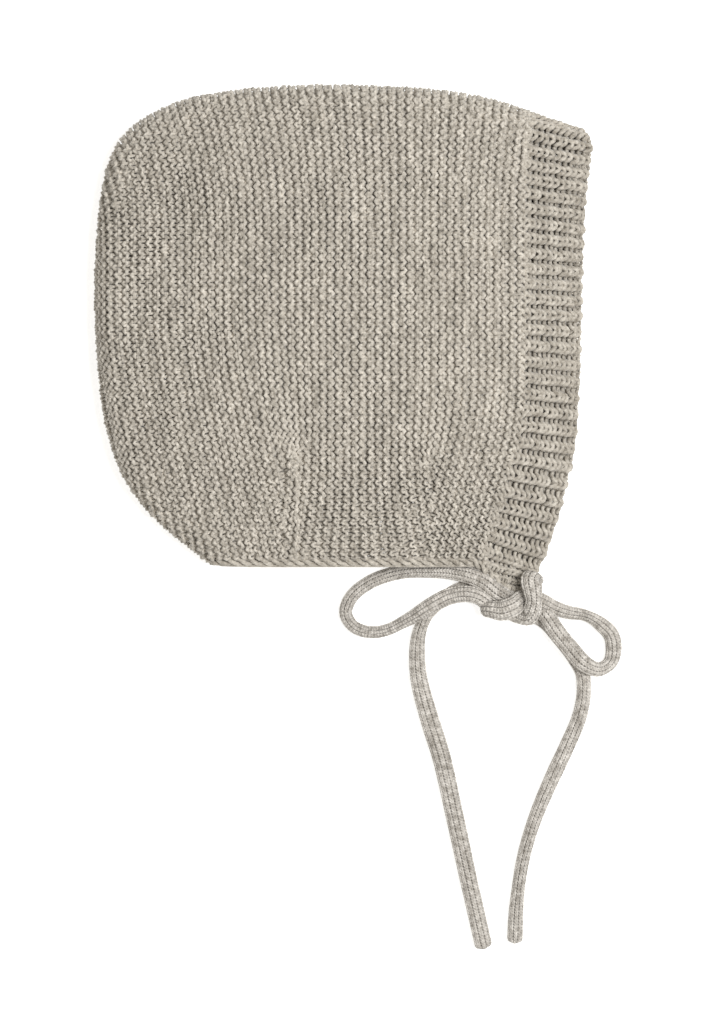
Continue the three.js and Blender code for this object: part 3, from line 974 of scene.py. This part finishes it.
# %% Write down the shapes
NEAR_SHAPE = [
    {"at": 0, "wide": 5.2, "slid": 0}, {"at": 8, "wide": 6.4, "slid": -1.0},
    {"at": 15, "wide": 6.6, "slid": -1.7}, {"at": 22, "wide": 6.1, "slid": -1.3},
    {"at": 44, "wide": 5.0, "slid": -1.1}, {"at": 58, "wide": 4.9, "slid": -0.9},
    {"at": 66, "wide": 4.8, "slid": -0.6}, {"at": 74, "wide": 4.4, "slid": 0.1},
    {"at": 90, "wide": 4.1, "slid": 0.3}, {"at": 98, "wide": 5.0, "slid": -0.3},
    {"at": 106, "wide": 5.9, "slid": -0.4}, {"at": 114, "wide": 6.0, "slid": 0},
    {"at": 130, "wide": 5.4, "slid": 0}, {"at": 140, "wide": 5.2, "slid": 0.6},
    {"at": 150, "wide": 5.2, "slid": 1.6}, {"at": 162, "wide": 5.2, "slid": 1.5},
    {"at": 174, "wide": 5.0, "slid": 0.3}, {"at": 190, "wide": 5.3, "slid": 0},
    {"at": 206, "wide": 5.5, "slid": 0}, {"at": 230, "wide": 4.7, "slid": 0},
    {"at": 250, "wide": 4.6, "slid": 0.1}, {"at": 262, "wide": 5.4, "slid": 0.1},
]
NEAR_KNOT = [
    {"at": 0, "east": 3.6, "north": -4.2, "up": 0}, {"at": 3, "east": 2.6, "north": -2.0, "up": 0},
    {"at": 6, "east": 1.0, "north": -0.3, "up": 0}, {"at": 10, "east": 0, "north": 0, "up": 0},
    {"at": 114, "east": 0, "north": 0, "up": 0}, {"at": 120, "east": 0, "north": 0, "up": 1.8},
    {"at": 125, "east": 0, "north": 0, "up": 2.4}, {"at": 131, "east": 0, "north": 0, "up": 0},
]
FAR_SHAPE = [
    {"at": 0, "wide": 5.2, "slid": 0}, {"at": 12, "wide": 5.4, "slid": 0},
    {"at": 20, "wide": 6.9, "slid": 0}, {"at": 25, "wide": 7.4, "slid": 0},
    {"at": 30, "wide": 5.6, "slid": 0}, {"at": 35, "wide": 6.6, "slid": 0},
    {"at": 44, "wide": 5.6, "slid": 0}, {"at": 52, "wide": 4.9, "slid": 0},
    {"at": 56, "wide": 4.7, "slid": 0}, {"at": 60, "wide": 6.6, "slid": 0},
    {"at": 64, "wide": 7.4, "slid": 0}, {"at": 70, "wide": 6.8, "slid": 0},
    {"at": 80, "wide": 5.4, "slid": 0}, {"at": 92, "wide": 4.9, "slid": -0.8},
    {"at": 100, "wide": 3.9, "slid": -0.1}, {"at": 106, "wide": 5.4, "slid": -0.8},
    {"at": 116, "wide": 5.8, "slid": -0.7}, {"at": 124, "wide": 4.6, "slid": 0},
    {"at": 136, "wide": 6.3, "slid": 0.3}, {"at": 150, "wide": 6.0, "slid": 0.2},
    {"at": 180, "wide": 5.2, "slid": 0}, {"at": 208, "wide": 4.6, "slid": 0.4},
    {"at": 216, "wide": 5.6, "slid": 0}, {"at": 228, "wide": 6.2, "slid": 0},
    {"at": 244, "wide": 6.8, "slid": 0}, {"at": 264, "wide": 6.5, "slid": -0.1},
    {"at": 300, "wide": 6.2, "slid": 0}, {"at": 324, "wide": 6.1, "slid": 0.3},
]
FAR_KNOT = [
    {"at": 2, "east": 0, "north": 0, "up": 0}, {"at": 8, "east": -1.2, "north": 0, "up": 0},
    {"at": 15, "east": -3.6, "north": 0, "up": 0}, {"at": 19, "east": -3.2, "north": 0, "up": 0},
    {"at": 24, "east": -0.4, "north": 0, "up": 0}, {"at": 30, "east": 1.2, "north": 0.5, "up": 0},
    {"at": 36, "east": 0.8, "north": 1.5, "up": 0}, {"at": 44, "east": 0, "north": 1.0, "up": 0},
    {"at": 50, "east": 0.6, "north": 0.8, "up": -1.0}, {"at": 55, "east": 1.2, "north": 0.2, "up": -2.4},
    {"at": 59, "east": 0.8, "north": -1.4, "up": -1.2}, {"at": 64, "east": 0, "north": -1.0, "up": 0},
    {"at": 72, "east": 0, "north": -1.4, "up": 0}, {"at": 78, "east": 0, "north": -3.2, "up": 0},
    {"at": 85, "east": 0, "north": -2.4, "up": 0}, {"at": 91, "east": 0, "north": -1.0, "up": 0},
    {"at": 98, "east": 0, "north": 0, "up": 0},
]
for name, shape in (("near", NEAR_SHAPE), ("far", FAR_SHAPE)):
    widths = [row["wide"] for row in shape]
    print(name, "tie is", min(widths), "to", max(widths), "mm wide")

# %% [markdown]
# ## Laying the ties
#
# The tables are read at even steps along a tie, and their corners are rounded off. A flat tie has to
# lie flat on the table and still turn smoothly through the knot. So the direction of its thickness
# is carried along the line first, then turned upright as far as the line is level, and then eased.

# %% Lay the ties
RING_STEP = 1.0
TURN_EASING = 40
CORNER_EASING = 9


def eased(place, table, key):
    """One column of a table at distances along a tie, with its corners rounded off."""
    value = np.interp(place, [row["at"] for row in table], [row[key] for row in table])
    window = np.hanning(CORNER_EASING)[1:-1]
    return np.convolve(np.pad(value, len(window) // 2, "edge"), window / window.sum(), "valid")


def section_turns(line):
    """Directions across the tie's thickness, which stay as upright as its bends allow."""
    along = np.gradient(line, axis=0)
    along /= np.linalg.norm(along, axis=1)[:, None]
    up = np.array([0.0, 0.0, 1.0])
    carried = [up - along[0] * along[0, 2]]
    for direction in along[1:]:
        last = carried[-1]
        carried.append(last - direction * (last @ direction))
        carried[-1] /= np.linalg.norm(carried[-1])
    carried = np.array(carried)
    side = np.cross(along, carried)
    upright = 1 - along[:, 2] ** 2
    wanted = np.arctan2((side * up).sum(1), (carried * up).sum(1))
    vector = np.exp(2j * wanted) * upright**2
    for _ in range(TURN_EASING):
        spread = np.pad(vector, 1, "edge")
        vector = (spread[:-2] + spread[1:-1] + spread[2:]) / 3
    turn = np.unwrap(np.angle(vector)) / 2
    thick = carried * np.cos(turn)[:, None] + side * np.sin(turn)[:, None]
    return thick, np.cross(along, thick)


def tie_middle(route, shape, knot):
    """The middle line of a tie at even steps, and how far along the tie each step is."""
    smooth = smooth_line(route)
    length = lengths_along(smooth)[-1]
    place = np.linspace(0, length, round(length / RING_STEP) + 1)
    line = at_lengths(smooth, place)
    left = unit(np.cross([0.0, 0.0, 1.0], np.gradient(line, axis=0)))
    line = line + left * eased(place, shape, "slid")[:, None]
    line = line + np.stack([eased(place, knot, key) for key in ("east", "north", "up")], axis=1)
    return line, place


for name, rows in (("near", NEAR_KNOT), ("far", FAR_KNOT)):
    print(name, "tie is moved by hand up to", rows[-1]["at"], "mm from its start")

# %% [markdown]
# ## Sweeping the ties
#
# A tie is swept as rings round its middle line. Each ring is an ellipse with a low ridge for every
# column of stitches. The girth hardly changes, so a wider stretch is thinner, and both ends are
# rounded off. A grid is the flat form of such a tube, and it brings the UV map that the material
# reads. Its two long sides meet and are merged.

# %% Sweep the ties
RING_POINTS = 50
TIE_GIRTH = 51.0
THIN_SQUARED, THICK_SQUARED = 8.5, 19.0
END_ROUNDING = 2.0
END_SQUARED = 0.0004
COLUMN_RELIEF = 0.035
MERGE = 0.02


def end_sizes(place):
    """1 along a tie, falling like a quarter circle at both ends."""
    from_end = np.minimum(place, place[-1] - place)
    return np.sqrt(np.clip(1 - (1 - np.clip(from_end / END_ROUNDING, 0, 1)) ** 2, END_SQUARED, 1))


def tie_mesh(name, line, width, size):
    """A tube of rings round a line, with a ridge for each column of stitches."""
    rings = len(line) - 1
    thickness = np.sqrt(np.clip(TIE_GIRTH - width**2, THIN_SQUARED, THICK_SQUARED))
    thick, wide = section_turns(line)
    bm = bmesh.new()
    bm.loops.layers.uv.new("UVMap")
    bmesh.ops.create_grid(bm, x_segments=rings, y_segments=RING_POINTS, size=1, calc_uvs=True)
    for vert in bm.verts:
        ring = round((vert.co.x + 1) / 2 * rings)
        turn = (vert.co.y + 1) / 2
        angle = 2 * math.pi * turn
        ridge = 1 + COLUMN_RELIEF * math.cos(2 * math.pi * TIE_COLUMNS * turn + math.pi)
        half_wide = width[ring] / 2 * ridge * size[ring]
        half_thick = thickness[ring] / 2 * ridge * size[ring]
        spot = line[ring] + wide[ring] * half_wide * math.cos(angle)
        spot = spot + thick[ring] * half_thick * math.sin(angle)
        vert.co = Vector(spot * MM)
    bmesh.ops.remove_doubles(bm, verts=bm.verts, dist=MERGE * MM)
    bmesh.ops.recalc_face_normals(bm, faces=bm.faces)
    for face in bm.faces:
        face.smooth = True
    mesh = bpy.data.meshes.new(name)
    bm.to_mesh(mesh)
    bm.free()
    return mesh


def tie_piece(name, route, shape, knot, node):
    """One tie, swept as a mesh with its own wool."""
    line, place = tie_middle(route, shape, knot)
    length = place[-1]
    width = eased(place, shape, "wide")
    mesh = tie_mesh(name, line, width, end_sizes(place))
    mesh.materials.append(new_tie_wool(name + "_wool", length))
    piece = bpy.data.objects.new(name, mesh)
    bpy.context.scene.collection.objects.link(piece)
    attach(piece, "root")
    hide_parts(node)
    tuple(line[0] * MM)
    round(length * MM, 4)
    [tuple(p * MM) for p in line]
    print(name, round(length, 1), "mm,", len(mesh.polygons) * 2, "triangles")


tie_piece("knitted_tie_near", TIE_NEAR_ROUTE, NEAR_SHAPE, NEAR_KNOT, "tie_near")
tie_piece("knitted_tie_far", TIE_FAR_ROUTE, FAR_SHAPE, FAR_KNOT, "tie_far")

# %% [markdown]
# ## Floor and light
#
# The picture has a white ground and hardly any shadow. One soft lamp stands high on the right, so
# that each loop of yarn has a light side, and a pale sky fills the rest. The paper glows a little,
# which keeps it white under the shadows.

# %% Set the stage
FLOOR_REACH = 3
PAPER = {
    "Base Color": (0.93, 0.93, 0.92, 1), "Roughness": 0.9,
    "Emission Color": (1, 1, 1, 1), "Emission Strength": 0.6,
}
SKY = {"Color": (1.0, 0.975, 0.935, 1), "Strength": 0.44}
LAMP_PLACE, LAMP_AIM = (0.45, 0.02, 1.0), (0.0, -0.04, 0.0)
LAMP_POWER = 10.3
LAMP_SIZE = 0.4

floor_mesh = bpy.data.meshes.new("floor")
bm = bmesh.new()
bmesh.ops.create_grid(bm, x_segments=1, y_segments=1, size=FLOOR_REACH)
bm.to_mesh(floor_mesh)
bm.free()
floor = bpy.data.objects.new("floor", floor_mesh)
bpy.context.scene.collection.objects.link(floor)
floor_material = bpy.data.materials.new("white_paper")
floor_material.use_nodes = True
set_inputs(floor_material.node_tree.nodes["Principled BSDF"], PAPER)
floor_mesh.materials.append(floor_material)

world = bpy.data.worlds.new("studio")
world.use_nodes = True
set_inputs(world.node_tree.nodes["Background"], SKY)
bpy.context.scene.world = world

lamp_data = bpy.data.lights.new("key", "AREA")
lamp_data.energy = LAMP_POWER
lamp_data.size = LAMP_SIZE
lamp = bpy.data.objects.new("key", lamp_data)
lamp.location = LAMP_PLACE
lamp_way = Vector(LAMP_AIM) - Vector(LAMP_PLACE)
lamp.rotation_euler = lamp_way.to_track_quat("-Z", "Y").to_euler()
bpy.context.scene.collection.objects.link(lamp)
bpy.context.scene.view_settings.view_transform = "Standard"
print("one lamp of", LAMP_POWER, "W and a sky of strength", SKY["Strength"])
